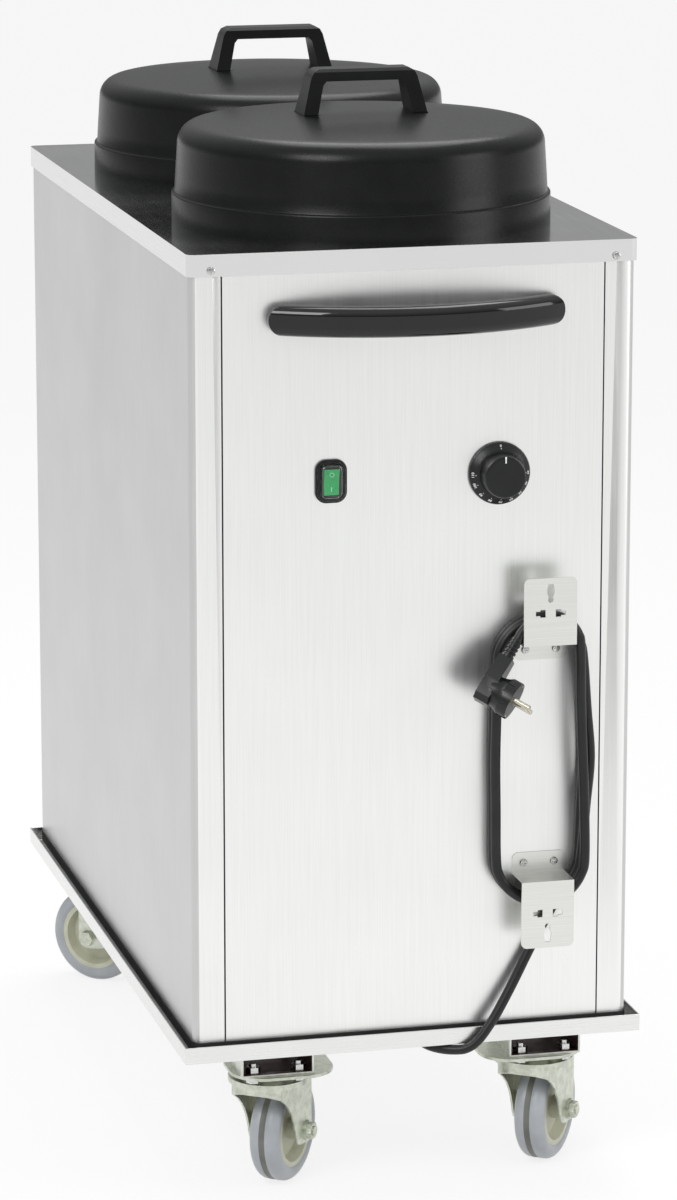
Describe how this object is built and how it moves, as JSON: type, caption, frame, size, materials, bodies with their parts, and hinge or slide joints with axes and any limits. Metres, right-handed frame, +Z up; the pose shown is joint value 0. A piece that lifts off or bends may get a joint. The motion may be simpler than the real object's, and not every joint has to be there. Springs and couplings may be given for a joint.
{
  "type": "plate warmer cabinet",
  "caption": "Heated plate dispenser trolley: brushed steel cabinet on swivel casters, sprung plate wells under black lids, push handle, knob, switch, wound cord.",
  "frame": {"origin": "middle of the footprint on the floor, half way between the push handle's front and the tray's back edge", "axes": "+Z up, front with the push handle faces -Y, +X to the right seen from the front"},
  "size_m": [0.468, 0.9183, 1.1065],
  "materials": {
    "stainless": "brushed",
    "tube_steel": "satin",
    "frame_steel": "satin",
    "bright_screws": "polished",
    "spring_steel": "satin",
    "lid_plastic": "textured",
    "handle_plastic": "satin",
    "gloss_black": "glossy",
    "heater_metal": "dull",
    "control_plastic": "satin",
    "white_plastic": "satin",
    "wire_insulation": "matte",
    "black_plastic": "satin",
    "clear_hood": "clear",
    "green_rocker": "glossy",
    "zinc": "zinc plated",
    "rim_plastic": "satin",
    "grey_tyre": "satin",
    "cord_rubber": "satin",
    "pin_metal": "nickel plated"
  },
  "bodies": {
    "cabinet": {"tray": "stainless", "caster_spacers": "zinc", "chassis_frame": "frame_steel", "side_panel_left": "stainless", "side_panel_right": "stainless", "front_panel": "stainless", "rear_panel": "stainless", "deck_top": "stainless", "panel_screws": "bright_screws", "well_collars": "stainless", "plate_tube_front": "tube_steel", "plate_tube_rear": "tube_steel", "guide_bars": "tube_steel", "well_bases": "tube_steel", "spring_front": "spring_steel", "spring_rear": "spring_steel", "heaters": "heater_metal", "thermostat_body": "control_plastic", "safety_cutout": "control_plastic", "terminal_block": "white_plastic", "wiring": "wire_insulation", "cable_gland": "black_plastic", "switch_frame": "black_plastic", "switch_hood": "clear_hood", "push_handle": "gloss_black", "bracket_upper": "stainless", "bracket_lower": "stainless", "caster_plates": "zinc", "caster_bolts": "bright_screws", "cord_lead": "cord_rubber", "cord_winding": "cord_rubber", "plug_body": "cord_rubber", "plug_pins": "pin_metal"},
    "platform_front": {"platform_front": "stainless"},
    "lid_front": {"lid_front": "lid_plastic", "lid_handle_front": "handle_plastic", "lid_screws_front": "bright_screws"},
    "platform_rear": {"platform_rear": "stainless"},
    "lid_rear": {"lid_rear": "lid_plastic", "lid_handle_rear": "handle_plastic", "lid_screws_rear": "bright_screws"},
    "rocker": {"rocker": "green_rocker"},
    "knob": {"knob": "black_plastic"},
    "swivel_fl": {"fork_fl": "zinc", "axle_fl": "zinc"},
    "wheel_fl": {"rim_fl": "rim_plastic", "tyre_fl": "grey_tyre"},
    "swivel_fr": {"fork_fr": "zinc", "axle_fr": "zinc"},
    "wheel_fr": {"rim_fr": "rim_plastic", "tyre_fr": "grey_tyre"},
    "swivel_rl": {"fork_rl": "zinc", "axle_rl": "zinc"},
    "wheel_rl": {"rim_rl": "rim_plastic", "tyre_rl": "grey_tyre"},
    "swivel_rr": {"fork_rr": "zinc", "axle_rr": "zinc"},
    "wheel_rr": {"rim_rr": "rim_plastic", "tyre_rr": "grey_tyre"}
  },
  "joints": [
    {"name": "lid_front_lift", "type": "slide", "parent": "cabinet", "child": "lid_front", "axis": [0, 0, 1], "range_m": [0, 0.25]},
    {"name": "platform_front_travel", "type": "slide", "parent": "cabinet", "child": "platform_front", "axis": [0, 0, 1], "range_m": [-0.45, 0], "stiffness_N_per_m": 785, "springref_m": 0.04, "deforming": ["spring_front"]},
    {"name": "lid_rear_lift", "type": "slide", "parent": "cabinet", "child": "lid_rear", "axis": [0, 0, 1], "range_m": [0, 0.25]},
    {"name": "platform_rear_travel", "type": "slide", "parent": "cabinet", "child": "platform_rear", "axis": [0, 0, 1], "range_m": [-0.45, 0], "stiffness_N_per_m": 785, "springref_m": 0.04, "deforming": ["spring_rear"]},
    {"name": "rocker_tilt", "type": "hinge", "parent": "cabinet", "child": "rocker", "pos_m": [-0.0839, -0.389, 0.731], "axis": [-1, 0, 0], "range_deg": [0, 14]},
    {"name": "knob_turn", "type": "hinge", "parent": "cabinet", "child": "knob", "pos_m": [0.0854, -0.388, 0.731], "axis": [0, 1, 0], "range_deg": [0, 270]},
    {"name": "swivel_fl", "type": "hinge", "parent": "cabinet", "child": "swivel_fl", "pos_m": [-0.138, -0.348, 0], "axis": [0, 0, 1], "continuous": true},
    {"name": "roll_fl", "type": "hinge", "parent": "swivel_fl", "child": "wheel_fl", "pos_m": [-0.11754, -0.32085, 0.054], "axis": [-0.7986, 0.6018, 0], "continuous": true},
    {"name": "swivel_fr", "type": "hinge", "parent": "cabinet", "child": "swivel_fr", "pos_m": [0.138, -0.348, 0], "axis": [0, 0, 1], "continuous": true},
    {"name": "roll_fr", "type": "hinge", "parent": "swivel_fr", "child": "wheel_fr", "pos_m": [0.15846, -0.32085, 0.054], "axis": [-0.7986, 0.6018, 0], "continuous": true},
    {"name": "swivel_rl", "type": "hinge", "parent": "cabinet", "child": "swivel_rl", "pos_m": [-0.138, 0.372, 0], "axis": [0, 0, 1], "continuous": true},
    {"name": "roll_rl", "type": "hinge", "parent": "swivel_rl", "child": "wheel_rl", "pos_m": [-0.16366, 0.39431, 0.054], "axis": [-0.6561, -0.7547, 0], "continuous": true},
    {"name": "swivel_rr", "type": "hinge", "parent": "cabinet", "child": "swivel_rr", "pos_m": [0.138, 0.372, 0], "axis": [0, 0, 1], "continuous": true},
    {"name": "roll_rr", "type": "hinge", "parent": "swivel_rr", "child": "wheel_rr", "pos_m": [0.15396, 0.40202, 0.054], "axis": [-0.8829, 0.4695, 0], "continuous": true}
  ]
}
